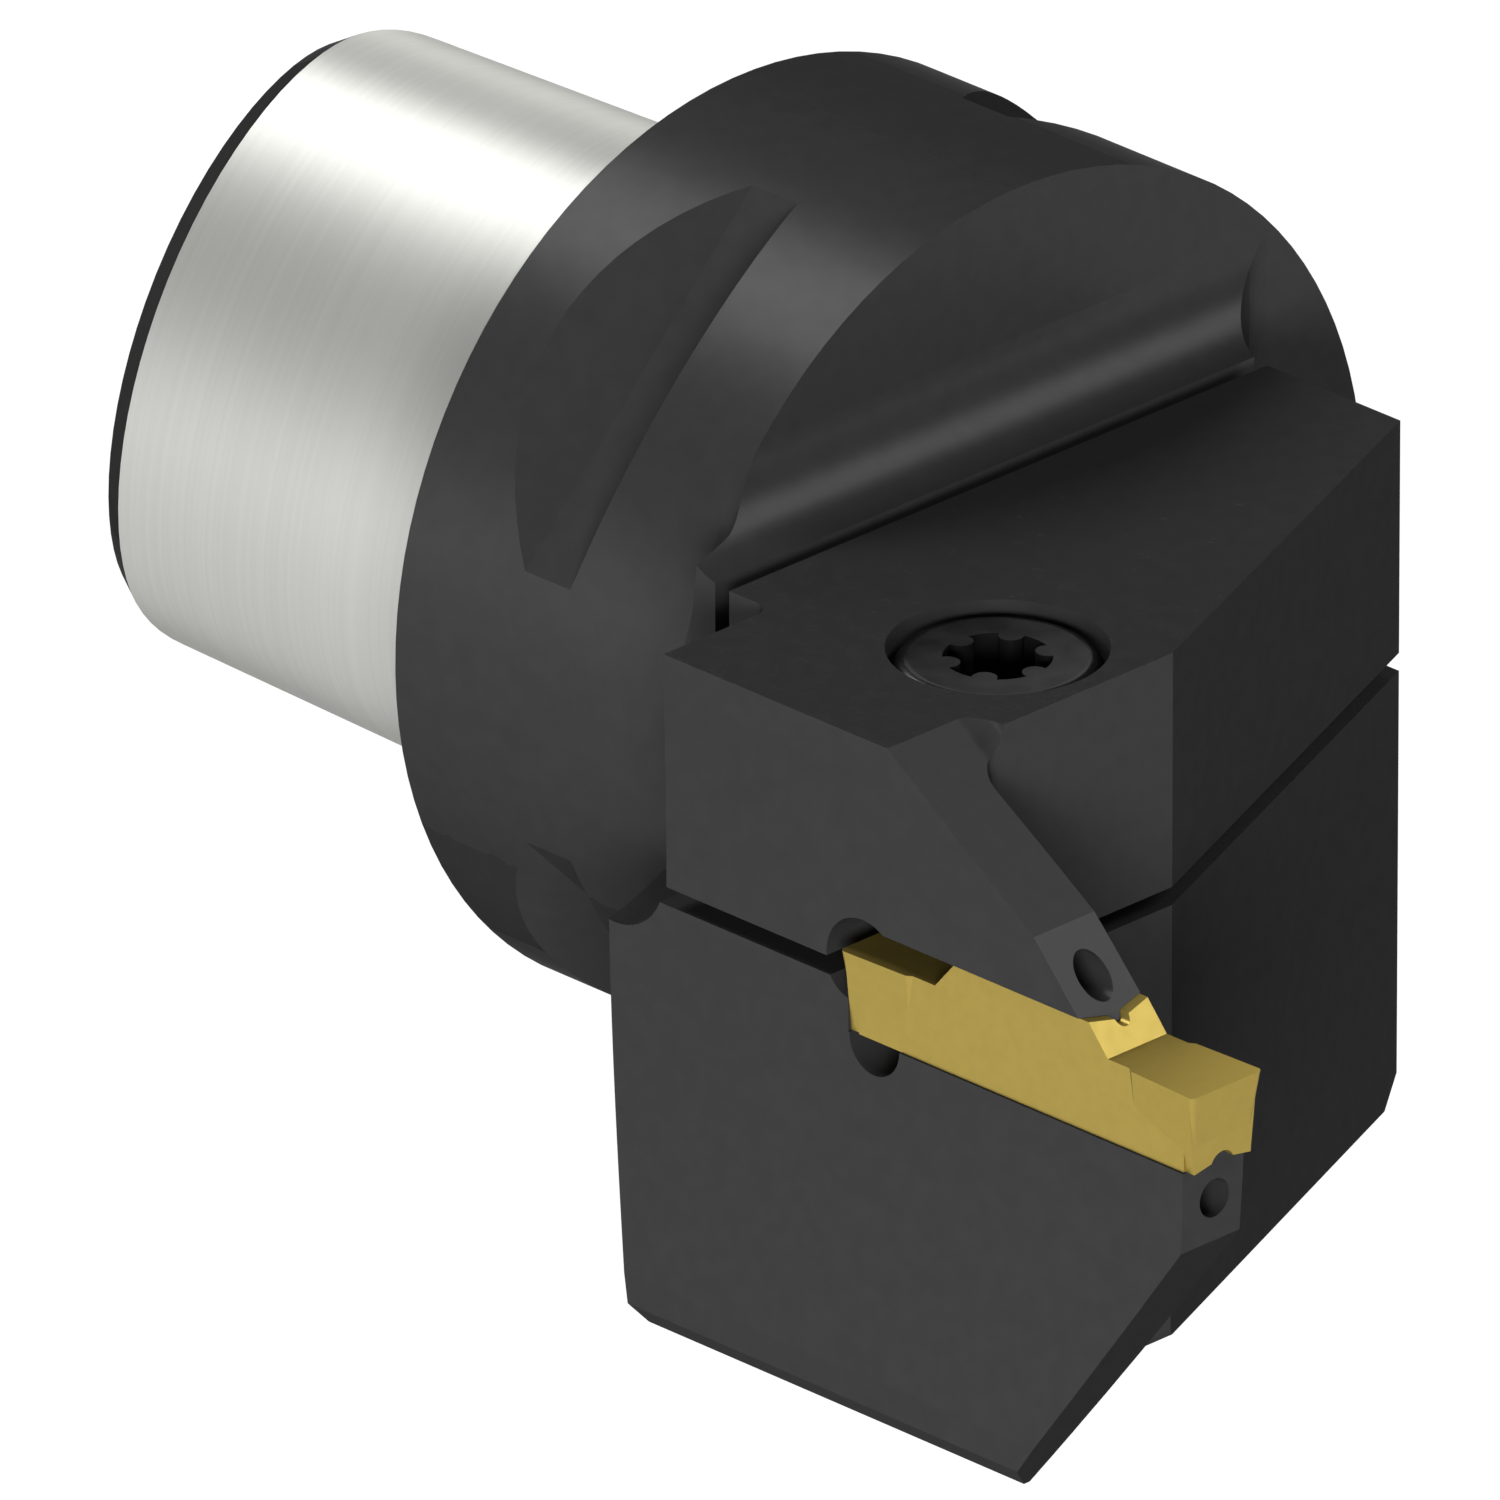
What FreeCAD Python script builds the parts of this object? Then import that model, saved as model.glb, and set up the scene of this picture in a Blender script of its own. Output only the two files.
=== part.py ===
"""Face grooving tool holder with a polygonal taper shank, size 50.

Millimetres. +X runs along the tool axis from the shank towards the cutting edge, +Z is up, and the
origin is the centre of the flange's rear (gauge) face. The cutting edge lies at centre height, z = 0.
One machined body carries the shank, the flange and the grooving blade. A separate jaw swings on a
cross pin behind the insert and is pulled down by one screw. A spring lifts it when the screw turns
back. Coolant reaches one hole in the jaw's finger and one hole in the blade's nose.
"""
import FreeCAD, Part
import math
import os

V = FreeCAD.Vector

# Coupling: flange and polygonal taper
flange_d = 50.0
flange_l = 20.0
flange_edge = 0.2
shank_l = 30.0
shank_mean_d = 35.0
shank_gauge_back = 2.5
shank_ecc = 1.12
shank_taper = 1.0 / 20.0
shank_lead_l = 1.75
shank_lead_h = 1.0
shank_turn = 30.0

# Coupling: bore for the clamping segments, and centre thread
bore_d = 21.0
bore_l = 22.0
bore_lead = 1.0
groove_d = 25.0
groove_start = 5.0
groove_w = 6.0
thread_minor_d = 14.376
thread_l = 14.0
runout_d = 17.6
runout_l = 3.0

# Coupling: four gripper slots round the flange
slot_count = 4
slot_floor_r = 22.2
slot_floor_back = 8.4
slot_floor_front = 11.65
slot_back_angle = 55.4
slot_front_angle = 26.6

# Head: outer form
head_top = 12.2
head_bottom = -25.9
head_right = 13.35
head_front = 45.5
diagonal_run = 11.5
diagonal_rise = 28.1
side_chamfer = 1.5
left_chamfer = 1.6
top_strip = 2.0
bottom_strip = 1.65
neck_fillet = 4.5
back_x = 21.27
back_angle = 15.0
back_fillet = 1.75

# Blade: curved to run in a ring groove
functional_l = 65.0
blade_y = -30.57
blade_w = 4.4
inner_curve_r = 250.0
outer_curve_r = 100.0
nose_back = 0.92
nose_h = 8.9
nose_slope = 34.6
blade_fillet = 1.5

# Gaps round the jaw
slit = 1.0
slit_top = -0.8
neck_gap = 1.0
neck_front = 23.5
neck_left = -25.3
left_slot_front = 27.5
left_slot_corner = 1.0

# Jaw finger
finger_start = 43.4
finger_angle = 35.0
finger_wall_y = -26.88
finger_fillet = 1.2
finger_kink_z = 5.09
tip_angle = 48.2

# Insert
insert_w = 5.0
insert_body_w = 4.2
insert_l = 24.9
insert_top = 1.58
insert_bottom = -4.48
insert_flank_h = 2.9
insert_flank_in = 0.36
rake_l = 6.36
chip_back = 1.35
corner_r = 0.3
body_short = 1.0
clearance_l = 4.5
clearance_in = 0.18
clearance_angle = 6.2
clearance_step = 34.0
vee_angle = 10.0
top_notch_r = 0.5
top_notch_depth = 0.7
low_notch_r = 0.85
low_notch_depth = 0.72
rib_gap = 0.06
seat_gap = 0.02
side_gap = 0.1

# Seat reliefs, placed from the insert's rear edge
jaw_relief_in = 1.37
jaw_relief_z = -0.58
jaw_relief_r = 2.59
entry_relief_in = 0.73
entry_relief_z = -0.72
entry_relief_r = 2.0
lower_relief_in = 1.88
lower_relief_z = -4.55
lower_relief_r = 1.76

# Pivot of the jaw
pivot_x = 23.8
pivot_z = -0.45
pivot_d = 7.0
pivot_end = 0.3
pivot_edge = 0.4
run_gap = 0.03

# Clamp screw and its washer
screw_x = 38.8
screw_y = -20.5
screw_d = 6.0
screw_pitch = 1.0
screw_head_d = 10.9
screw_head_h = 4.0
screw_head_round = 0.9
screw_sink = 0.5
screw_in_body = 11.2
screw_neck_in = 0.3
screw_play = 0.4
thread_gap = 0.05
counterbore_d = 11.4
washer_t = 1.2
washer_bore = 6.3
lobe_d = 5.6
lobe_bump_r = 0.65
lobe_bump_at = 2.62
lobe_depth = 3.0

# Guide pin
guide_x = 35.0
guide_y = 2.0
guide_d = 3.0
guide_down = 6.2
guide_up = 4.8
guide_play = 0.1

# Lifting spring
spring_x = 37.0
spring_y = -7.5
spring_d = 4.8
spring_wire = 0.7
spring_pitch = 2.4
spring_pocket_d = 5.2
spring_down = 5.0
spring_up = 3.0

# Coolant
feed_x = 30.5
feed_y = 0.0
feed_d = 2.5
main_d = 3.0
main_z = -6.55
nose_hole_d = 2.08
nose_hole_z = -6.55
nose_hole_angle = 8.0
finger_hole_d = 2.06
finger_hole_x = 55.54
finger_hole_z = 2.89
finger_hole_angle = 4.0
tube_d = 4.0
tube_bore = 1.8
tube_play = 0.2
tube_down = 3.2
tube_up = 4.0
seal_wire = 0.7
seal_groove_w = 0.9
seal_slack = 0.05
seal_down = 1.6
seal_up = 2.0
plug_d = 4.2
plug_l = 4.5
plug_sink = 0.5
plug_key = 2.5
plug_key_depth = 2.0
plug_edge = 0.3

# Sizes that follow
far = 200.0
flange_r = flange_d / 2.0
edge_x = functional_l
nose_x = functional_l - nose_back
blade_left = blade_y - blade_w / 2.0
blade_right = blade_y + blade_w / 2.0
slit_low = slit_top - slit
jaw_back = neck_front + neck_gap
seat_bottom = insert_bottom - seat_gap
seat_top = insert_top + seat_gap
pocket_wall = blade_y + insert_w / 2.0 + side_gap
insert_rear = functional_l - insert_l
stop_x = insert_rear + insert_flank_in - seat_gap
lower_relief_x = stop_x + lower_relief_in
jaw_relief_x = insert_rear + jaw_relief_in
tan = lambda degrees: math.tan(math.radians(degrees))


def polygon(points):
    """A closed flat face through the points."""
    return Part.Face(Part.makePolygon(points + points[:1]))


def plan(points, low, high):
    """A prism standing on an outline given in x and y."""
    return polygon([V(x, y, low) for x, y in points]).extrude(V(0, 0, high - low))


def side(points, left, right):
    """A prism lying along Y on an outline given in x and z."""
    return polygon([V(x, left, z) for x, z in points]).extrude(V(0, right - left, 0))


def box(low, high):
    """A block between two corners."""
    return Part.makeBox(high[0] - low[0], high[1] - low[1], high[2] - low[2], V(*low))


def rod(radius, start, end):
    """A round bar between two points."""
    along = V(*end) - V(*start)
    return Part.makeCylinder(radius, along.Length, V(*start), along)


def turned(points, at, axis):
    """A turned solid: points are (along, radius) from a base point on its axis."""
    face = polygon([V(r, 0, a) for a, r in points])
    solid = face.revolve(V(0, 0, 0), V(0, 0, 1), 360)
    solid.Placement = FreeCAD.Placement(V(*at), FreeCAD.Rotation(V(0, 0, 1), V(*axis)))
    return solid


def arc_edge(start, middle, end):
    """A circular edge through three points."""
    return Part.Arc(V(*start), V(*middle), V(*end)).toShape()


def line_edge(start, end):
    """A straight edge."""
    return Part.makeLine(V(*start), V(*end))


def left_side_y(z):
    """The head's left side: hollow, so that it clears the inner wall of a ring groove."""
    return blade_left - z * z / (2.0 * inner_curve_r)


def polygon_section(mean_d, x):
    """The closed three-lobed outline of the taper at one place along it, with one lobe up."""
    points = []
    steps = 48
    for i in range(steps):
        g = 2.0 * math.pi * i / steps
        y = mean_d / 2.0 * math.cos(g) - 2.0 * shank_ecc * math.cos(2 * g) + shank_ecc * math.cos(4 * g)
        z = mean_d / 2.0 * math.sin(g) + 2.0 * shank_ecc * math.sin(2 * g) + shank_ecc * math.sin(4 * g)
        turn = math.radians(shank_turn)
        points.append(V(x, y * math.cos(turn) - z * math.sin(turn), y * math.sin(turn) + z * math.cos(turn)))
    curve = Part.BSplineCurve()
    curve.interpolate(Points=points, PeriodicFlag=True)
    return Part.Wire([curve.toShape()])


def mean_at(x):
    """Mean diameter of the taper at x, which is negative behind the gauge face."""
    return shank_mean_d + shank_taper * (x + shank_gauge_back)


def shank():
    """The polygonal taper with its lead-in at the rear."""
    lead_x = -shank_l + shank_lead_l
    lead_d = mean_at(lead_x)
    rear_d = lead_d - 2.0 * shank_lead_h
    taper = Part.makeLoft([polygon_section(lead_d, lead_x), polygon_section(mean_at(0.5), 0.5)], True)
    lead = Part.makeLoft([polygon_section(rear_d, -shank_l), polygon_section(lead_d, lead_x)], True)
    return taper.fuse(lead)


def shank_bore():
    """The segment bore with its groove, the centre thread's core and the run-out behind it."""
    start = -shank_l
    thread_x = start + bore_l
    thread_end = thread_x + thread_l
    groove_x = start + groove_start
    slope = (groove_d - bore_d) / 2.0
    profile = [
        (start - 1.0, 0.0), (start - 1.0, bore_d / 2.0 + bore_lead + 1.0), (start + bore_lead, bore_d / 2.0),
        (groove_x, bore_d / 2.0), (groove_x, groove_d / 2.0), (groove_x + groove_w, groove_d / 2.0),
        (groove_x + groove_w + slope, bore_d / 2.0), (thread_x - slope, bore_d / 2.0),
        (thread_x, thread_minor_d / 2.0), (thread_end, thread_minor_d / 2.0), (thread_end, runout_d / 2.0),
        (thread_end + runout_l, runout_d / 2.0), (thread_end + runout_l, 0.0)]
    return turned(profile, (0, 0, 0), (1, 0, 0))


def gripper_slots():
    """Straight slots across the flange, where a tool changer takes hold."""
    over = 2.0
    depth = flange_r + over - slot_floor_r
    outline = [(slot_floor_back, slot_floor_r), (slot_floor_front, slot_floor_r),
               (slot_floor_front + depth * tan(slot_front_angle), slot_floor_r + depth),
               (slot_floor_back - depth * tan(slot_back_angle), slot_floor_r + depth)]
    cutter = side(outline, -flange_r, flange_r)
    slots = []
    for i in range(slot_count):
        one = cutter.copy()
        one.rotate(V(0, 0, 0), V(1, 0, 0), 45.0 + 360.0 / slot_count * i)
        slots.append(one)
    return slots


def head_section():
    """The head's outline across the tool: strips and chamfers, with the hollow left side between."""
    strip_z = head_top - top_strip
    low_z = head_bottom + left_chamfer
    mid_z = low_z + bottom_strip
    top_y = left_side_y(strip_z)
    low_y = left_side_y(mid_z)
    right = flange_r
    high = flange_r
    corners = [(low_y + left_chamfer, head_bottom), (low_y, low_z), (low_y, mid_z)]
    after = [(top_y, strip_z), (top_y, high), (right, high), (right, head_bottom)]
    edges = [line_edge((0,) + a, (0,) + b) for a, b in zip(corners, corners[1:])]
    edges.append(arc_edge((0, low_y, mid_z), (0, blade_left, 0), (0, top_y, strip_z)))
    chain = after + corners[:1]
    edges += [line_edge((0,) + a, (0,) + b) for a, b in zip(chain, chain[1:])]
    return Part.Face(Part.Wire(edges)).extrude(V(functional_l + 5.0, 0, 0))


def neck_forms():
    """Two prisms whose common part carries the hollow fillets from the head to the flange's face."""
    r = neck_fillet
    diag = math.sqrt(0.5)
    x0 = flange_l
    x1 = flange_l + r
    end = functional_l + 5.0
    low = head_bottom - 1.0
    zc = head_top + r
    above = [line_edge((x1, -far, head_top), (end, -far, head_top)),
             line_edge((end, -far, head_top), (end, -far, low)),
             line_edge((end, -far, low), (x0 - 1, -far, low)),
             line_edge((x0 - 1, -far, low), (x0 - 1, -far, zc)),
             line_edge((x0 - 1, -far, zc), (x0, -far, zc)),
             arc_edge((x0, -far, zc), (x1 - r * diag, -far, zc - r * diag), (x1, -far, head_top))]
    yc = head_right + r
    beside = [line_edge((x1, head_right, low), (end, head_right, low)),
              line_edge((end, head_right, low), (end, -far, low)),
              line_edge((end, -far, low), (x0 - 1, -far, low)),
              line_edge((x0 - 1, -far, low), (x0 - 1, yc, low)),
              line_edge((x0 - 1, yc, low), (x0, yc, low)),
              arc_edge((x0, yc, low), (x1 - r * diag, yc - r * diag, low), (x1, head_right, low))]
    top_form = Part.Face(Part.Wire(above)).extrude(V(0, 2 * far, 0))
    right_form = Part.Face(Part.Wire(beside)).extrude(V(0, 0, far))
    return top_form, right_form


def head_plan():
    """The head seen from above: a block with a diagonal front, and the blade standing out of it."""
    low = head_bottom - 1.0
    high = head_top + 20.0
    front_right = head_right - diagonal_rise
    block = plan([(0, -far), (head_front, -far), (head_front, front_right),
                  (head_front - diagonal_run, head_right), (head_front - diagonal_run, far), (0, far)],
                 low, high)
    outer = Part.makeCylinder(outer_curve_r, far, V(0, blade_right - outer_curve_r, 0), V(1, 0, 0))
    blade = box((head_front - 1.0, -far, low), (nose_x, blade_right, high)).common(outer)
    both = block.fuse(blade).removeSplitter()
    inner = [e for e in both.Edges if abs(e.CenterOfMass.x - head_front) < 1e-4
             and abs(e.CenterOfMass.y - blade_right) < 5.0 and e.Length > 10.0]
    return both.makeFillet(blade_fillet, inner)


def head_blank():
    """Jaw and body in one, before they are cut apart."""
    top_form, right_form = neck_forms()
    blank = head_plan().common(head_section()).common(top_form).common(right_form)
    chamfer = polygon([V(flange_l + neck_fillet, head_right + 1, head_bottom - 1),
                       V(flange_l + neck_fillet, head_right + 1, head_bottom + side_chamfer + 1),
                       V(flange_l + neck_fillet, head_right - side_chamfer - 1, head_bottom - 1)])
    return blank.cut(chamfer.extrude(V(far, 0, 0)))


def behind_head():
    """The turned space behind the head: outside the flange, then a fillet into the sloping back."""
    slope = tan(back_angle)
    tilt = math.radians(back_angle)
    centre_r = flange_r + back_fillet
    centre_x = back_x + slope * back_fillet - back_fillet / math.cos(tilt)
    touch = (centre_x + back_fillet * math.cos(tilt), centre_r - back_fillet * math.sin(tilt))
    angle = (-math.pi / 2 - tilt) / 2
    middle = (centre_x + back_fillet * math.cos(angle), centre_r + back_fillet * math.sin(angle))
    outer_r = 2.0 * flange_d / 2.0
    outer_x = back_x + slope * (outer_r - flange_r)
    pts = lambda p: (p[0], p[1], 0)
    edges = [line_edge((-1, flange_r, 0), (centre_x, flange_r, 0)),
             arc_edge((centre_x, flange_r, 0), pts(middle), pts(touch)),
             line_edge(pts(touch), (outer_x, outer_r, 0)),
             line_edge((outer_x, outer_r, 0), (-1, outer_r, 0)),
             line_edge((-1, outer_r, 0), (-1, flange_r, 0))]
    return Part.Face(Part.Wire(edges)).revolve(V(0, 0, 0), V(1, 0, 0), 360)


def under_nose():
    """The wedge that is cut away under the blade's nose."""
    deep = head_bottom - 5.0
    run = (deep + nose_h) * tan(nose_slope)
    front = nose_x + 5.0
    return side([(nose_x, -nose_h), (nose_x + run, deep), (front, deep), (front, -nose_h)], -far, far)


def vee_space(z, up, x0, x1, notch_r, notch_depth):
    """Space above (up) or below a rail that runs along X at the middle of the insert.

    The rail is a shallow vee, z high at the insert's sides, with a round rib on its ridge that
    stands in the insert's notch. Beside the insert the space goes on level.
    """
    half = insert_body_w / 2.0
    sign = 1 if up else -1
    tip_z = z + sign * half * tan(vee_angle)
    end = z + sign * far
    face = polygon([V(x0, blade_y - far, z), V(x0, blade_y - half, z), V(x0, blade_y, tip_z),
                    V(x0, blade_y + half, z), V(x0, blade_y + far, z), V(x0, blade_y + far, end),
                    V(x0, blade_y - far, end)])
    centre = z + sign * (notch_depth - notch_r)
    rib = rod(notch_r - rib_gap, (x0 - 1, blade_y, centre), (x1 + 1, blade_y, centre))
    return face.extrude(V(x1 - x0, 0, 0)).cut(rib)


def nose_channel(radius, start, end_x, angle, z_at, x_at):
    """A drilling along the blade that slopes by a small angle, from start to end_x."""
    z_of = lambda x: z_at + (x - x_at) * tan(angle)
    return rod(radius, (start, blade_y, z_of(start)), (end_x, blade_y, z_of(end_x)))


body_cross_z = nose_hole_z + (feed_x - nose_x) * tan(nose_hole_angle)
jaw_cross_z = finger_hole_z + (finger_hole_x - feed_x) * tan(finger_hole_angle)


def plug_seat(z):
    """The tapped mouth of a cross drilling on the head's right side."""
    return rod(plug_d / 2.0, (feed_x, head_right - plug_sink - plug_l, z), (feed_x, head_right + 1.0, z))


def holder_body():
    """Shank, flange, neck, lower head and blade, machined from one piece."""
    flange = turned([(0, 0), (0, flange_r - flange_edge), (flange_edge, flange_r), (flange_l, flange_r),
                     (flange_l, 0)], (0, 0, 0), (1, 0, 0))
    head = head_blank().cut(behind_head())
    head = head.common(box((flange_l - 0.5, -far, -far), (far, far, far)))
    top = head_top + 2.0 * neck_fillet
    head = head.cut(box((neck_front, -far, slit_low), (far, far, top + 10)))
    head = head.cut(box((flange_l, -far, pivot_z), (neck_front + 1, neck_left, top + 10)))
    head = head.cut(rod(pivot_d / 2.0, (pivot_x, -far, pivot_z), (pivot_x, far, pivot_z)))
    head = head.cut(under_nose())
    head = head.cut(seat_space())
    body = flange.fuse(head).fuse(shank()).removeSplitter()
    for cutter in gripper_slots() + [shank_bore()] + body_drillings():
        body = body.cut(cutter)
    return body


def seat_space():
    """Everything that is cut from the body for the insert: rail, stop and reliefs."""
    left = -far
    wall = pocket_wall
    entry_x = insert_rear + entry_relief_in
    space = vee_space(seat_bottom, True, stop_x, functional_l + 5.0, low_notch_r, low_notch_depth)
    space = space.common(box((stop_x, left, -far), (far, wall, slit_low + 1.0)))
    corner = rod(lower_relief_r, (lower_relief_x, left, lower_relief_z),
                 (lower_relief_x, wall, lower_relief_z))
    entry = rod(entry_relief_r, (entry_x, left, entry_relief_z), (entry_x, wall, entry_relief_z))
    return space.fuse([corner, entry])


def body_drillings():
    """Screw, pin and spring holes, and the coolant drillings of the body."""
    deep = slit_low - screw_in_body - 1.5
    bore_end = -shank_l + bore_l + thread_l
    return [
        rod(screw_d / 2.0, (screw_x, screw_y, deep), (screw_x, screw_y, 0)),
        rod(guide_d / 2.0, (guide_x, guide_y, slit_low - guide_down), (guide_x, guide_y, 0)),
        rod(spring_pocket_d / 2.0, (spring_x, spring_y, slit_low - spring_down), (spring_x, spring_y, 0)),
        rod(tube_d / 2.0 + tube_play, (feed_x, feed_y, slit_low - tube_down - tube_play),
            (feed_x, feed_y, 0)),
        rod(feed_d / 2.0, (feed_x, feed_y, body_cross_z), (feed_x, feed_y, 0)),
        rod(main_d / 2.0, (bore_end, 0, main_z), (feed_x, 0, main_z)),
        rod(feed_d / 2.0, (feed_x, blade_y, body_cross_z), (feed_x, head_right + 1, body_cross_z)),
        nose_channel(nose_hole_d / 2.0, feed_x, nose_x + 2.0, nose_hole_angle, nose_hole_z, nose_x),
        plug_seat(body_cross_z)]


def clamp_jaw():
    """The upper jaw: a thick plate behind, with a finger that reaches out over the insert."""
    jaw = head_blank().common(box((jaw_back, -far, slit_top), (far, far, head_top)))
    slot = box((jaw_back - 1, -far, slit_top - 1), (left_slot_front, neck_left, head_top + 1))
    for edge in slot.Edges:
        middle = edge.CenterOfMass
        if abs(middle.x - left_slot_front) < 1e-6 and abs(middle.y - neck_left) < 1e-6:
            slot = slot.makeFillet(left_slot_corner, [edge])
            break
    jaw = jaw.cut(slot)
    jaw = jaw.cut(rod(pivot_d / 2.0 + run_gap, (pivot_x, -far, pivot_z), (pivot_x, far, pivot_z)))
    jaw = jaw.cut(finger_slope()).cut(finger_tip()).cut(jaw_seat_space())
    for cutter in jaw_drillings():
        jaw = jaw.cut(cutter)
    return jaw


def finger_slope():
    """Space above the finger's sloping back, with a hollow fillet against the jaw's front."""
    drop = tan(finger_angle)
    reach = 30.0
    face = side([(finger_start - 10, head_top + 10 * drop), (finger_start + reach, head_top - reach * drop),
                 (finger_start + reach, head_top + 20)], -far, finger_wall_y)
    corner = V(finger_start, finger_wall_y, head_top)
    best = None
    for edge in face.Edges:
        a, b = edge.Vertexes[0].Point, edge.Vertexes[-1].Point
        on_wall = abs(a.y - finger_wall_y) < 1e-6 and abs(b.y - finger_wall_y) < 1e-6
        slopes = abs((b.z - a.z) / (b.x - a.x) + drop) < 1e-6 if abs(b.x - a.x) > 1e-6 else False
        if on_wall and slopes and edge.distToShape(Part.Vertex(corner))[0] < 1e-3:
            best = edge
    return face.makeFillet(finger_fillet, [best])


def kink_x():
    """Where the finger's back turns down to its tip."""
    return finger_start + (head_top - finger_kink_z) / tan(finger_angle)


def finger_tip():
    """Space in front of the finger's tip."""
    x = kink_x()
    fall = 10.0
    return side([(x, finger_kink_z), (x + fall, finger_kink_z - fall * tan(tip_angle)),
                 (x + fall + 10, finger_kink_z - fall * tan(tip_angle)), (x + 20, finger_kink_z + 20),
                 (x - 1.0, finger_kink_z + 1.0)], -far, far)


def jaw_seat_space():
    """Everything that is cut from the jaw's underside for the insert."""
    wall = pocket_wall
    space = vee_space(seat_top, False, jaw_relief_x, functional_l + 5.0, top_notch_r, top_notch_depth)
    space = space.common(box((0, -far, slit_top - 1.0), (far, wall, far)))
    relief = rod(jaw_relief_r, (jaw_relief_x, -far, jaw_relief_z), (jaw_relief_x, wall, jaw_relief_z))
    return space.fuse(relief)


def jaw_drillings():
    """Screw hole with its counterbore, pin and spring holes, and the coolant drillings of the jaw."""
    seat_z = head_top - screw_sink - screw_head_h - washer_t
    return [
        rod(screw_d / 2.0 + screw_play, (screw_x, screw_y, slit_top - 1), (screw_x, screw_y, head_top)),
        rod(counterbore_d / 2.0, (screw_x, screw_y, seat_z), (screw_x, screw_y, head_top + 1)),
        rod(guide_d / 2.0 + guide_play, (guide_x, guide_y, slit_top - 1),
            (guide_x, guide_y, slit_top + guide_up + 0.5)),
        rod(spring_pocket_d / 2.0, (spring_x, spring_y, slit_top - 1),
            (spring_x, spring_y, slit_top + spring_up)),
        rod(tube_d / 2.0 + tube_play, (feed_x, feed_y, slit_top - 1),
            (feed_x, feed_y, slit_top + tube_up + tube_play)),
        rod(feed_d / 2.0, (feed_x, feed_y, slit_top), (feed_x, feed_y, jaw_cross_z)),
        rod(feed_d / 2.0, (feed_x, blade_y, jaw_cross_z), (feed_x, head_right + 1, jaw_cross_z)),
        nose_channel(finger_hole_d / 2.0, feed_x, finger_hole_x + 5.0, -finger_hole_angle, finger_hole_z,
                     finger_hole_x),
        plug_seat(jaw_cross_z)]


def lobed_socket(top):
    """Six-lobed key socket, cut down from the screw's top."""
    socket = rod(lobe_d / 2.0, (screw_x, screw_y, top - lobe_depth), (screw_x, screw_y, top + 1))
    for i in range(6):
        a = math.radians(60.0 * i)
        x = screw_x + lobe_bump_at * math.cos(a)
        y = screw_y + lobe_bump_at * math.sin(a)
        socket = socket.cut(rod(lobe_bump_r, (x, y, top - lobe_depth - 1), (x, y, top + 2)))
    return socket


def clamp_screw():
    """Clamp screw: round-edged head with a six-lobed socket over a plain-drawn thread."""
    top = head_top - screw_sink
    under = top - screw_head_h
    end = slit_low - screw_in_body
    major = screw_d / 2.0 - thread_gap
    neck = major - screw_neck_in
    head_r = screw_head_d / 2.0
    profile = [(end, 0.0), (end, major - screw_pitch), (end + screw_pitch, major), (slit_low, major),
               (slit_low + screw_neck_in, neck), (under, neck), (under, head_r), (top, head_r), (top, 0.0)]
    screw = turned(profile, (screw_x, screw_y, 0), (0, 0, 1))
    rim = [e for e in screw.Edges if abs(e.CenterOfMass.z - top) < 1e-6 and e.Length > 3 * head_r]
    screw = screw.makeFillet(screw_head_round, rim)
    return screw.cut(lobed_socket(top))


def screw_washer():
    """Hard washer between the screw's head and the jaw."""
    top = head_top - screw_sink - screw_head_h
    ring = rod(screw_head_d / 2.0, (screw_x, screw_y, top - washer_t), (screw_x, screw_y, top))
    return ring.cut(rod(washer_bore / 2.0, (screw_x, screw_y, 0), (screw_x, screw_y, top + 1)))


def insert_profile():
    """Outline of the double-ended insert seen from its side."""
    front = functional_l
    rear = insert_rear
    foot = insert_flank_in
    chip = rake_l + chip_back
    return [(front, 0), (front - foot, -insert_flank_h), (front - foot, insert_bottom),
            (rear + foot, insert_bottom), (rear + foot, -insert_flank_h), (rear, 0), (rear + rake_l, 0),
            (rear + chip, insert_top), (front - chip, insert_top), (front - rake_l, 0)]


def insert_end(end, sign):
    """One wide end of the insert, relieved backwards and downwards from its cutting edge."""
    half = insert_w / 2.0
    back = end - sign * (clearance_l + half)
    block = side(insert_profile(), blade_y - half, blade_y + half)
    block = block.common(box((min(end, back), -far, -far), (max(end, back), far, far)))
    for y_sign in (-1, 1):
        edge = blade_y + y_sign * half
        step_x = end - sign * clearance_l
        step_y = edge - y_sign * clearance_in
        inner_x = step_x - sign * half
        over = 5.0
        slant = V(0, y_sign * tan(clearance_angle), 1)
        outline = [V(end + sign, edge + y_sign * clearance_in / clearance_l, 0), V(step_x, step_y, 0),
                   V(inner_x, step_y - y_sign * half * tan(clearance_step), 0),
                   V(inner_x, edge + y_sign * over, 0), V(end + sign, edge + y_sign * over, 0)]
        low = polygon([point - slant * 10.0 for point in outline])
        block = block.cut(low.extrude(slant * 20.0))
    return block


def end_corners(insert):
    """The four edges that run down from the corners of the two cutting edges."""
    corners = []
    for line in insert.Edges:
        a, b = line.Vertexes[0].Point, line.Vertexes[-1].Point
        falls = abs(max(a.z, b.z)) < 1e-6 and abs(a.z - b.z) > insert_flank_h / 2.0
        for end in (insert_rear, functional_l):
            if falls and min(abs(a.x - end), abs(b.x - end)) < 1e-6:
                corners.append(line)
    return corners


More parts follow.
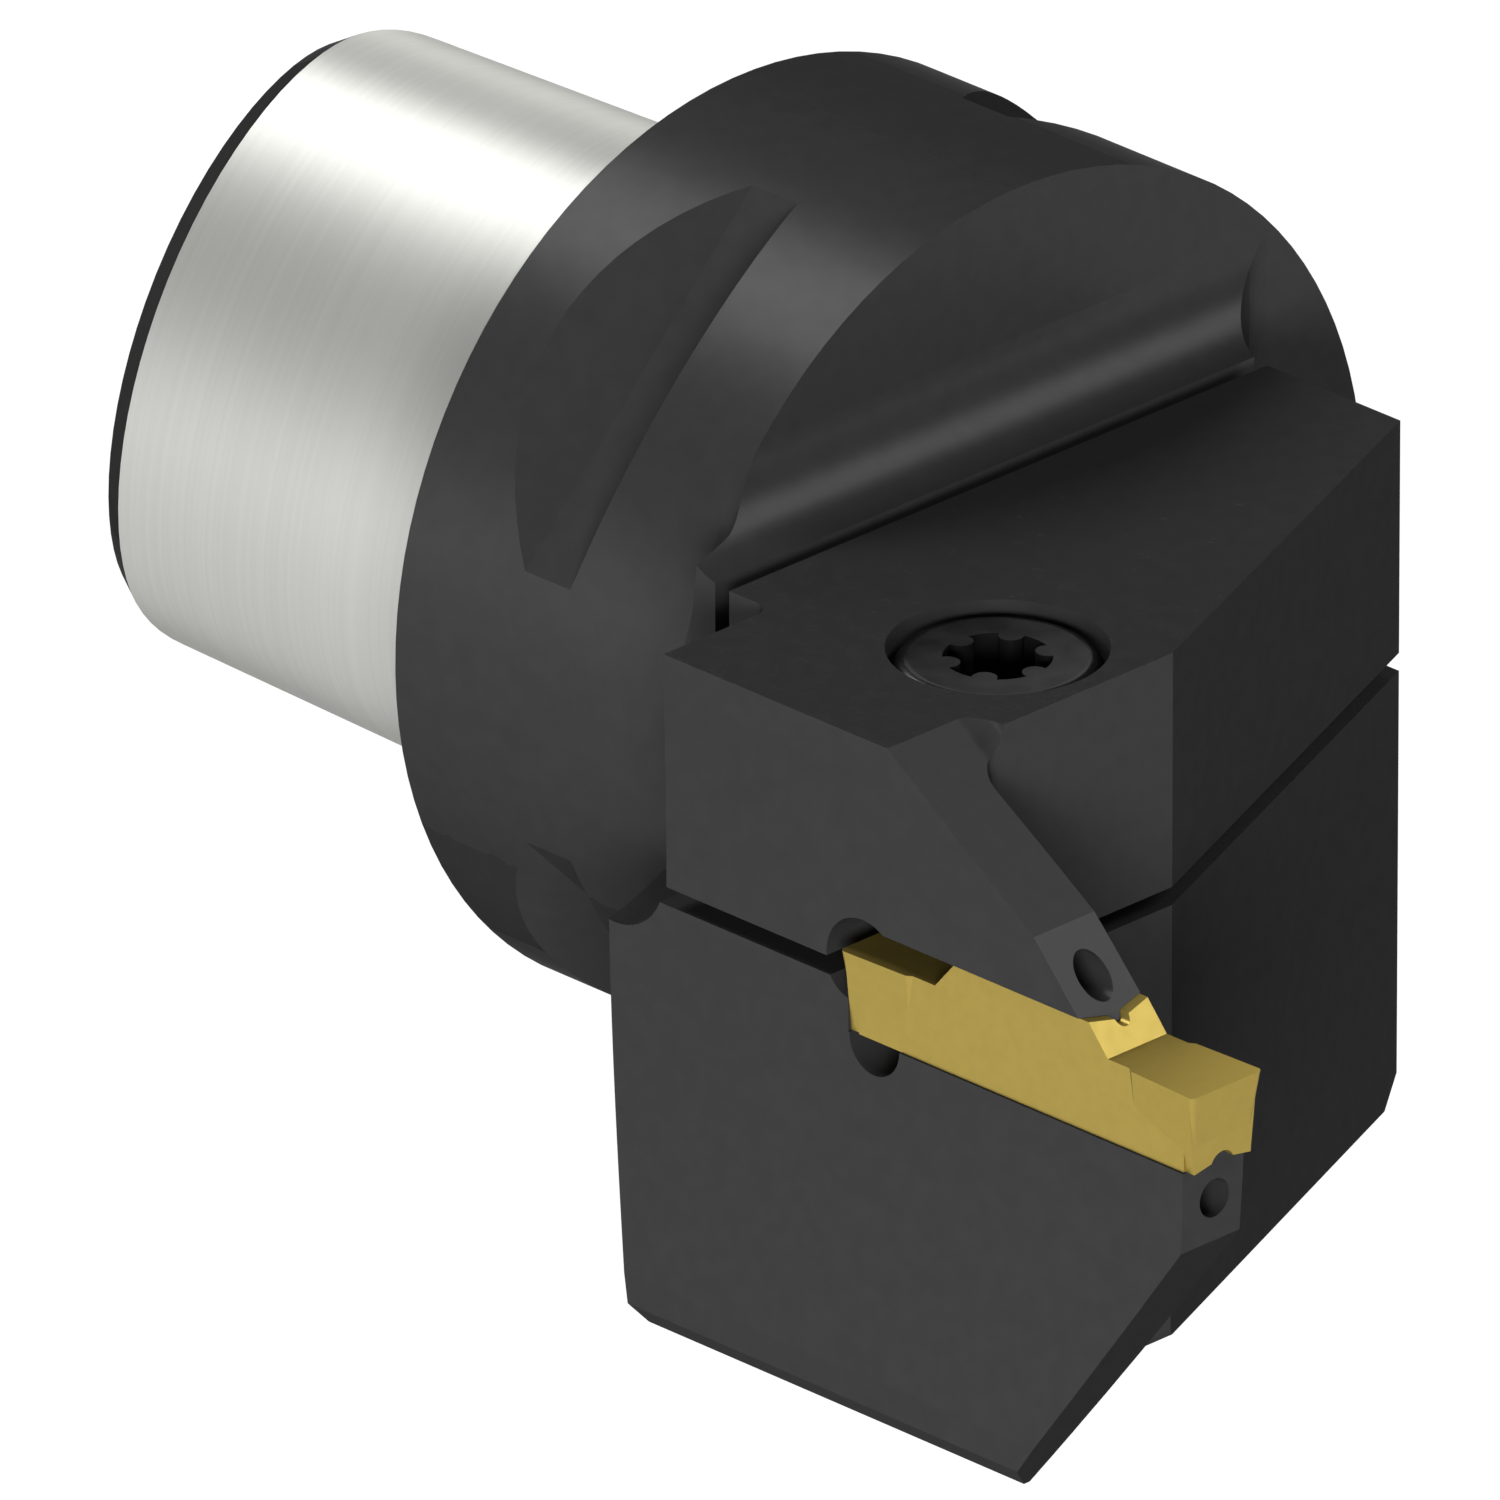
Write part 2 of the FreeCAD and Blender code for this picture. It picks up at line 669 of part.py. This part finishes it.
def cutting_insert():
    """Double-ended grooving insert: a narrow body with shallow vees, and a wider edge at each end."""
    half = insert_body_w / 2.0
    insert = side(insert_profile(), blade_y - half, blade_y + half)
    insert = insert.common(box((insert_rear + body_short, -far, -far), (functional_l - body_short, far, far)))
    insert = insert.fuse([insert_end(functional_l, 1), insert_end(insert_rear, -1)]).removeSplitter()
    start = insert_rear - 1.0
    end = functional_l + 1.0
    grooves = ((insert_top, -1, top_notch_r, top_notch_depth),
               (insert_bottom, 1, low_notch_r, low_notch_depth))
    for z, sign, notch_r, notch_depth in grooves:
        tip = z + sign * half * tan(vee_angle)
        vee = polygon([V(start, blade_y - half, z), V(start, blade_y, tip), V(start, blade_y + half, z)])
        centre = z + sign * (notch_depth - notch_r)
        insert = insert.cut(vee.extrude(V(end - start, 0, 0)))
        insert = insert.cut(rod(notch_r, (start, blade_y, centre), (end, blade_y, centre)))
    return insert.makeFillet(corner_r, end_corners(insert))


def jaw_pivot_pin():
    """Hardened cross pin that the jaw rocks on."""
    r = pivot_d / 2.0
    start = neck_left + pivot_end
    end = head_right - pivot_end
    return turned([(0, 0), (0, r - pivot_edge), (pivot_edge, r), (end - start - pivot_edge, r),
                   (end - start, r - pivot_edge), (end - start, 0)], (pivot_x, start, pivot_z), (0, 1, 0))


def jaw_guide_pin():
    """Dowel in the body that keeps the jaw in line with the blade."""
    r = guide_d / 2.0
    low = slit_low - guide_down
    high = slit_top + guide_up
    edge = 0.3
    return turned([(0, 0), (0, r - edge), (edge, r), (high - low - edge, r), (high - low, r - edge),
                   (high - low, 0)], (guide_x, guide_y, low), (0, 0, 1))


def jaw_lift_spring():
    """Square-wire compression spring that lifts the jaw when the screw is turned back."""
    half = spring_wire / 2.0
    mean_r = spring_d / 2.0 - half
    low = slit_low - spring_down + half
    high = slit_top + spring_up - half
    turns = round((high - low) / spring_pitch)
    helix = Part.makeHelix((high - low) / turns, high - low, mean_r)
    corners = [V(mean_r - half, 0, -half), V(mean_r + half, 0, -half), V(mean_r + half, 0, half),
               V(mean_r - half, 0, half)]
    start = Part.makePolygon(corners + corners[:1])
    coil = Part.Wire(helix.Edges).makePipeShell([start], True, True)
    coil.translate(V(spring_x, spring_y, low))
    return coil


def coolant_tube():
    """Short tube that carries coolant across the slit into the jaw."""
    r = tube_d / 2.0
    low = slit_low - tube_down
    high = slit_top + tube_up
    groove_r = r + tube_play - seal_slack - seal_wire
    half = seal_groove_w / 2.0
    z1 = slit_low - seal_down - low
    z2 = slit_top + seal_up - low
    length = high - low
    profile = [(0, tube_bore / 2.0), (0, r), (z1 - half, r), (z1 - half, groove_r), (z1 + half, groove_r),
               (z1 + half, r), (z2 - half, r), (z2 - half, groove_r), (z2 + half, groove_r),
               (z2 + half, r), (length, r), (length, tube_bore / 2.0)]
    return turned(profile, (feed_x, feed_y, low), (0, 0, 1))


def tube_seal(z):
    """Square-cut rubber ring in the tube's groove."""
    outer = tube_d / 2.0 + tube_play - seal_slack
    ring = rod(outer, (feed_x, feed_y, z - seal_wire / 2.0), (feed_x, feed_y, z + seal_wire / 2.0))
    return ring.cut(rod(outer - seal_wire, (feed_x, feed_y, z - seal_wire), (feed_x, feed_y, z + seal_wire)))


def channel_plug(z):
    """Grub screw with a hexagon socket that closes a cross drilling."""
    r = plug_d / 2.0
    start = head_right - plug_sink - plug_l
    plug = turned([(0, 0), (0, r - plug_edge), (plug_edge, r), (plug_l - plug_edge, r),
                   (plug_l, r - plug_edge), (plug_l, 0)], (feed_x, start, z), (0, 1, 0))
    key_r = plug_key / math.sqrt(3.0)
    y0 = start + plug_l - plug_key_depth
    turns = [math.radians(60 * i) for i in range(6)]
    corners = [V(feed_x + key_r * math.cos(turn), y0, z + key_r * math.sin(turn)) for turn in turns]
    return plug.cut(polygon(corners).extrude(V(0, plug_key_depth + 1, 0)))


nodes = {
    "holder_body": holder_body,
    "clamp_jaw": clamp_jaw,
    "clamp_screw": clamp_screw,
    "screw_washer": screw_washer,
    "cutting_insert": cutting_insert,
    "jaw_pivot_pin": jaw_pivot_pin,
    "jaw_guide_pin": jaw_guide_pin,
    "jaw_lift_spring": jaw_lift_spring,
    "coolant_tube": coolant_tube,
    "tube_seal_lower": lambda: tube_seal(slit_low - seal_down),
    "tube_seal_upper": lambda: tube_seal(slit_top + seal_up),
    "body_channel_plug": lambda: channel_plug(body_cross_z),
    "jaw_channel_plug": lambda: channel_plug(jaw_cross_z),
}

os.makedirs("parts", exist_ok=True)
for name, make in nodes.items():
    shape = make()
    if shape.ShapeType != "Solid" and len(shape.Solids) == 1:
        shape = shape.Solids[0]
    shape.exportStep("parts/" + name + ".step")
    print("%-20s solids %d valid %s volume %.1f" % (name, len(shape.Solids), shape.isValid(), shape.Volume))
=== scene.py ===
import math

import bpy
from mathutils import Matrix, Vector


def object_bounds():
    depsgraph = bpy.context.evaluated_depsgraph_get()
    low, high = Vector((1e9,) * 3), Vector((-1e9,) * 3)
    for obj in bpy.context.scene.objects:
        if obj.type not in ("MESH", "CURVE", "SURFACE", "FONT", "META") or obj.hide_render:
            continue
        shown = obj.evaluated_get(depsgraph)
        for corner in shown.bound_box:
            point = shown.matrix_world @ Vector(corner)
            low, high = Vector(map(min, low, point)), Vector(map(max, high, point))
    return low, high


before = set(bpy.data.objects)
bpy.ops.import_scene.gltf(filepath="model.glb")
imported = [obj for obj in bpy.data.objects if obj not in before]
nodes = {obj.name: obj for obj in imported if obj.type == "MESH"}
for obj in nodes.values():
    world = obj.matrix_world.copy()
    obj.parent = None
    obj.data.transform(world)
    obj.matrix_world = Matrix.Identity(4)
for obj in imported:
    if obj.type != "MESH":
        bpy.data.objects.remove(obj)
cad_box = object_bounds()

# Camera: the photograph's direction, its long lens, its place and how near and far it sees
VIEW_AZIMUTH = 45.0
VIEW_ELEVATION = 25.0
LENS_MM = 1282.08
SENSOR_MM = 36.0
CAMERA_AT = Vector((1.75270, -1.75202, 1.14255))
CLIP_NEAR = 0.1
CLIP_FAR = 60.0

# Floor: how far it lies below the tool, its width, and the grey that throws light back at the tool
FLOOR_DROP = 0.030
FLOOR_SIZE = 30.0
FLOOR_BOUNCE = (0.30, 0.30, 0.30, 1.0)

# What the camera and reflections see of the floor: a nearly white glow and a dim grey that the lamps light
WHITE = (1.0, 1.0, 1.0, 1.0)
FLOOR_GLOW = 0.955
FLOOR_LIT = (0.10, 0.10, 0.10, 1.0)

# Lamps: the direction from the tool to each, and its power in watts
LAMP_AIM = Vector((0.02, -0.01, -0.005))
LAMP_DISTANCE = 1.2
LAMP_SIZE = 0.5
LAMPS = {
    "key": ((0.66, -0.72, 0.08), 16.5),
    "side": ((-0.45, -0.87, 0.08), 3.2),
    "overhead": ((-0.64, -0.03, 0.76), 6.5),
    "rim": ((-0.64, 0.64, 0.45), 1.4),
    "high": ((0.42, 0.64, 0.60), 3.8),
    "back": ((-0.75, 0.66, 0.02), 8.0),
}
ROOM_LIGHT = 0.04

# Colours, linear
BLACK_OXIDE = (0.051, 0.051, 0.052, 1.0)
BLACK_OXIDE_WORN = (0.056, 0.056, 0.057, 1.0)
GROUND_STEEL = (0.58, 0.585, 0.555, 1.0)
GROUND_STEEL_DARK = (0.55, 0.555, 0.525, 1.0)
SCREW_BLACK = (0.060, 0.060, 0.061, 1.0)
SCREW_BRIGHT = (0.075, 0.075, 0.076, 1.0)
PIN_STEEL = (0.42, 0.42, 0.42, 1.0)
GOLD = (0.43, 0.32, 0.078, 1.0)
GOLD_DEEP = (0.405, 0.30, 0.073, 1.0)
SEAL_BLACK = (0.02, 0.02, 0.02, 1.0)

# Tint of the reflection, dark so that faces seen at a flat angle don't light up
EDGE_TINT = (0.15, 0.15, 0.15, 1.0)

# Grain: how fine the noise is, its stretch along each axis, and its detail
EVEN = (1.0, 1.0, 1.0)
GRAIN_DETAIL = 3.0
OXIDE_GRAIN = 900.0
RING_GRAIN = 60.0
RING_STRETCH = (60.0, 0.6, 0.6)
RING_DETAIL = 2.0

# The part of the noise's range that is used, and what it does to a surface
NOISE_LOW = 0.3
NOISE_HIGH = 0.7
ROUGHNESS_SWING = 0.03
BUMP_DEPTH = 0.00002
BUMP_STRENGTH = 0.05
BODY_BUMP_STRENGTH = 0.04

# The body is ground bright between these two places along X, in metres: taper, gauge face and bore
GROUND_REAR = -0.02825
GROUND_FRONT = 0.00004
OXIDE_METALLIC = 0.30
OXIDE_ROUGHNESS = 0.33
GROUND_METALLIC = 0.60
GROUND_ROUGHNESS = 0.44

# Pieces with one finish all over
PIECES = {
    "black_oxide": ["clamp_jaw"],
    "screw_black": ["clamp_screw", "body_channel_plug", "jaw_channel_plug"],
    "pin_steel": ["screw_washer", "jaw_pivot_pin", "jaw_guide_pin", "jaw_lift_spring", "coolant_tube"],
    "gold_coating": ["cutting_insert"],
    "seal_rubber": ["tube_seal_lower", "tube_seal_upper"],
}
FINISHES = {
    "black_oxide": dict(low=BLACK_OXIDE, high=BLACK_OXIDE_WORN, metallic=OXIDE_METALLIC,
                        rough=OXIDE_ROUGHNESS, specular=0.0, grain=OXIDE_GRAIN),
    "screw_black": dict(low=SCREW_BLACK, high=SCREW_BRIGHT, metallic=0.85,
                        rough=0.22, specular=0.5, grain=700.0),
    "pin_steel": dict(low=PIN_STEEL, high=GROUND_STEEL, metallic=0.8,
                      rough=0.30, specular=0.5, grain=300.0, stretch=(1.0, 8.0, 1.0)),
    "gold_coating": dict(low=GOLD_DEEP, high=GOLD, metallic=0.55,
                         rough=0.32, specular=0.1, grain=1400.0),
    "seal_rubber": dict(low=SEAL_BLACK, high=BLACK_OXIDE, metallic=0.0,
                        rough=0.6, specular=0.4, grain=800.0),
}


def new_material(name, specular):
    """A node material with one Principled shader; returns the material, its tree and the shader."""
    material = bpy.data.materials.new(name)
    material.use_nodes = True
    tree = material.node_tree
    shader = tree.nodes["Principled BSDF"]
    shader.inputs["Specular IOR Level"].default_value = specular
    shader.inputs["Specular Tint"].default_value = EDGE_TINT
    return material, tree, shader


def add(tree, kind, **values):
    """A node with its settings."""
    node = tree.nodes.new(kind)
    for key, value in values.items():
        setattr(node, key, value)
    return node


def feed(tree, value, socket):
    """Links another node's output to an input, or stores a plain value in it."""
    if isinstance(value, bpy.types.NodeSocket):
        tree.links.new(value, socket)
    else:
        socket.default_value = value


def calculate(tree, operation, first, second):
    """The result of a Math node on two outputs or numbers."""
    node = add(tree, "ShaderNodeMath", operation=operation)
    feed(tree, first, node.inputs[0])
    feed(tree, second, node.inputs[1])
    return node.outputs["Value"]


def stretched_noise(tree, grain, stretch, detail=GRAIN_DETAIL):
    """Noise in the object's own coordinates, drawn out along an axis."""
    coordinates = add(tree, "ShaderNodeTexCoord")
    mapping = add(tree, "ShaderNodeMapping")
    mapping.inputs["Scale"].default_value = stretch
    noise = add(tree, "ShaderNodeTexNoise")
    noise.inputs["Scale"].default_value = grain
    noise.inputs["Detail"].default_value = detail
    tree.links.new(coordinates.outputs["Object"], mapping.inputs["Vector"])
    tree.links.new(mapping.outputs["Vector"], noise.inputs["Vector"])
    return noise.outputs["Fac"]


def two_colours(tree, factor, low, high):
    """A mix of two colours by a factor."""
    mix = add(tree, "ShaderNodeMix", data_type="RGBA")
    feed(tree, factor, mix.inputs["Factor"])
    feed(tree, low, mix.inputs["A"])
    feed(tree, high, mix.inputs["B"])
    return mix.outputs["Result"]


def spread(tree, factor, low, high, start=NOISE_LOW, end=NOISE_HIGH):
    """A factor that runs from start to end turned into a number from low to high."""
    span = add(tree, "ShaderNodeMapRange")
    span.inputs["From Min"].default_value = start
    span.inputs["From Max"].default_value = end
    span.inputs["To Min"].default_value = low
    span.inputs["To Max"].default_value = high
    tree.links.new(factor, span.inputs["Value"])
    return span.outputs["Result"]


def noisy_colour(tree, noise, low, high):
    """A colour that goes from low to high with the noise."""
    return two_colours(tree, spread(tree, noise, 0.0, 1.0), low, high)


def fine_bump(tree, shader, height, strength):
    """A shallow bump of the machined surface."""
    bump = add(tree, "ShaderNodeBump")
    bump.inputs["Strength"].default_value = strength
    bump.inputs["Distance"].default_value = BUMP_DEPTH
    tree.links.new(height, bump.inputs["Height"])
    tree.links.new(bump.outputs["Normal"], shader.inputs["Normal"])


def plain_finish(name, low, high, metallic, rough, specular, grain, stretch=EVEN):
    """One finish all over, whose colour and roughness vary a little."""
    material, tree, shader = new_material(name, specular)
    noise = stretched_noise(tree, grain, stretch)
    roughness = spread(tree, noise, rough - ROUGHNESS_SWING, rough + ROUGHNESS_SWING)
    feed(tree, noisy_colour(tree, noise, low, high), shader.inputs["Base Color"])
    feed(tree, metallic, shader.inputs["Metallic"])
    feed(tree, roughness, shader.inputs["Roughness"])
    fine_bump(tree, shader, noise, BUMP_STRENGTH)
    return material


def body_material():
    """Black oxide, with ground steel between two planes across the tool's axis."""
    material, tree, shader = new_material("body_steel", 0.0)
    split = add(tree, "ShaderNodeSeparateXYZ")
    coordinates = add(tree, "ShaderNodeTexCoord")
    tree.links.new(coordinates.outputs["Object"], split.inputs["Vector"])
    behind_front = calculate(tree, "LESS_THAN", split.outputs["X"], GROUND_FRONT)
    ahead_of_rear = calculate(tree, "GREATER_THAN", split.outputs["X"], GROUND_REAR)
    ground = calculate(tree, "MULTIPLY", ahead_of_rear, behind_front)
    noise = stretched_noise(tree, OXIDE_GRAIN, EVEN)
    rings = stretched_noise(tree, RING_GRAIN, RING_STRETCH, RING_DETAIL)
    black = noisy_colour(tree, noise, BLACK_OXIDE, BLACK_OXIDE_WORN)
    steel = noisy_colour(tree, rings, GROUND_STEEL_DARK, GROUND_STEEL)
    metallic = spread(tree, ground, OXIDE_METALLIC, GROUND_METALLIC, 0.0, 1.0)
    roughness = spread(tree, ground, OXIDE_ROUGHNESS, GROUND_ROUGHNESS, 0.0, 1.0)
    feed(tree, two_colours(tree, ground, black, steel), shader.inputs["Base Color"])
    feed(tree, metallic, shader.inputs["Metallic"])
    feed(tree, roughness, shader.inputs["Roughness"])
    fine_bump(tree, shader, noise, BODY_BUMP_STRENGTH)
    return material


def dress(names, material):
    """Gives CAD nodes a material; their normals come exact from the CAD surfaces."""
    for name in names:
        data = nodes[name].data
        data.materials.clear()
        data.materials.append(material)


def make_camera():
    """The photograph's camera: upright, far away, with a very long lens."""
    azimuth = math.radians(VIEW_AZIMUTH)
    elevation = math.radians(VIEW_ELEVATION)
    level = math.cos(elevation)
    back = Vector((math.sin(azimuth) * level, -math.cos(azimuth) * level, math.sin(elevation)))
    data = bpy.data.cameras.new("camera")
    data.lens = LENS_MM
    data.sensor_width = SENSOR_MM
    data.clip_start = CLIP_NEAR
    data.clip_end = CLIP_FAR
    camera = bpy.data.objects.new("camera", data)
    camera.location = CAMERA_AT
    camera.rotation_mode = "QUATERNION"
    camera.rotation_quaternion = (-back).to_track_quat("-Z", "Y")
    bpy.context.scene.collection.objects.link(camera)
    bpy.context.scene.camera = camera


def floor_material():
    """Mid grey to the light that it throws back, white to camera, glossy and transmission rays."""
    material = bpy.data.materials.new("floor")
    material.use_nodes = True
    tree = material.node_tree
    tree.nodes.clear()
    rays = add(tree, "ShaderNodeLightPath").outputs
    seen = calculate(tree, "MAXIMUM", rays["Is Camera Ray"], rays["Is Glossy Ray"])
    seen = calculate(tree, "MAXIMUM", seen, rays["Is Transmission Ray"])
    bounce = add(tree, "ShaderNodeBsdfDiffuse")
    bounce.inputs["Color"].default_value = FLOOR_BOUNCE
    lit = add(tree, "ShaderNodeBsdfDiffuse")
    lit.inputs["Color"].default_value = FLOOR_LIT
    glow = add(tree, "ShaderNodeEmission")
    glow.inputs["Color"].default_value = WHITE
    glow.inputs["Strength"].default_value = FLOOR_GLOW
    shown = add(tree, "ShaderNodeAddShader")
    mix = add(tree, "ShaderNodeMixShader")
    surface = add(tree, "ShaderNodeOutputMaterial")
    tree.links.new(lit.outputs["BSDF"], shown.inputs[0])
    tree.links.new(glow.outputs["Emission"], shown.inputs[1])
    tree.links.new(seen, mix.inputs["Fac"])
    tree.links.new(bounce.outputs["BSDF"], mix.inputs[1])
    tree.links.new(shown.outputs["Shader"], mix.inputs[2])
    tree.links.new(mix.outputs["Shader"], surface.inputs["Surface"])
    return material


def make_floor():
    """A wide flat floor a little below the tool."""
    low = cad_box[0].z - FLOOR_DROP
    half = FLOOR_SIZE / 2.0
    mesh = bpy.data.meshes.new("floor")
    corners = [(-half, -half, low), (half, -half, low), (half, half, low), (-half, half, low)]
    mesh.from_pydata(corners, [], [(0, 1, 2, 3)])
    mesh.materials.append(floor_material())
    floor = bpy.data.objects.new("floor", mesh)
    bpy.context.scene.collection.objects.link(floor)


def soft_box(name, towards, watts):
    """A square lamp on one side of the tool, turned to face it."""
    at = LAMP_AIM + Vector(towards).normalized() * LAMP_DISTANCE
    light = bpy.data.lights.new(name, "AREA")
    light.shape = "SQUARE"
    light.size = LAMP_SIZE
    light.energy = watts
    lamp = bpy.data.objects.new(name, light)
    lamp.location = at
    lamp.rotation_mode = "QUATERNION"
    lamp.rotation_quaternion = (LAMP_AIM - at).to_track_quat("-Z", "Y")
    bpy.context.scene.collection.objects.link(lamp)


def make_light():
    """Soft studio light: lamps round the tool and a dim room."""
    for name, (towards, watts) in LAMPS.items():
        soft_box(name, towards, watts)
    world = bpy.data.worlds.new("room")
    world.use_nodes = True
    background = world.node_tree.nodes["Background"]
    background.inputs["Color"].default_value = WHITE
    background.inputs["Strength"].default_value = ROOM_LIGHT
    bpy.context.scene.world = world


bpy.context.scene.view_settings.view_transform = "Standard"

dress(["holder_body"], body_material())
for finish, pieces in PIECES.items():
    dress(pieces, plain_finish(finish, **FINISHES[finish]))

make_camera()
make_floor()
make_light()
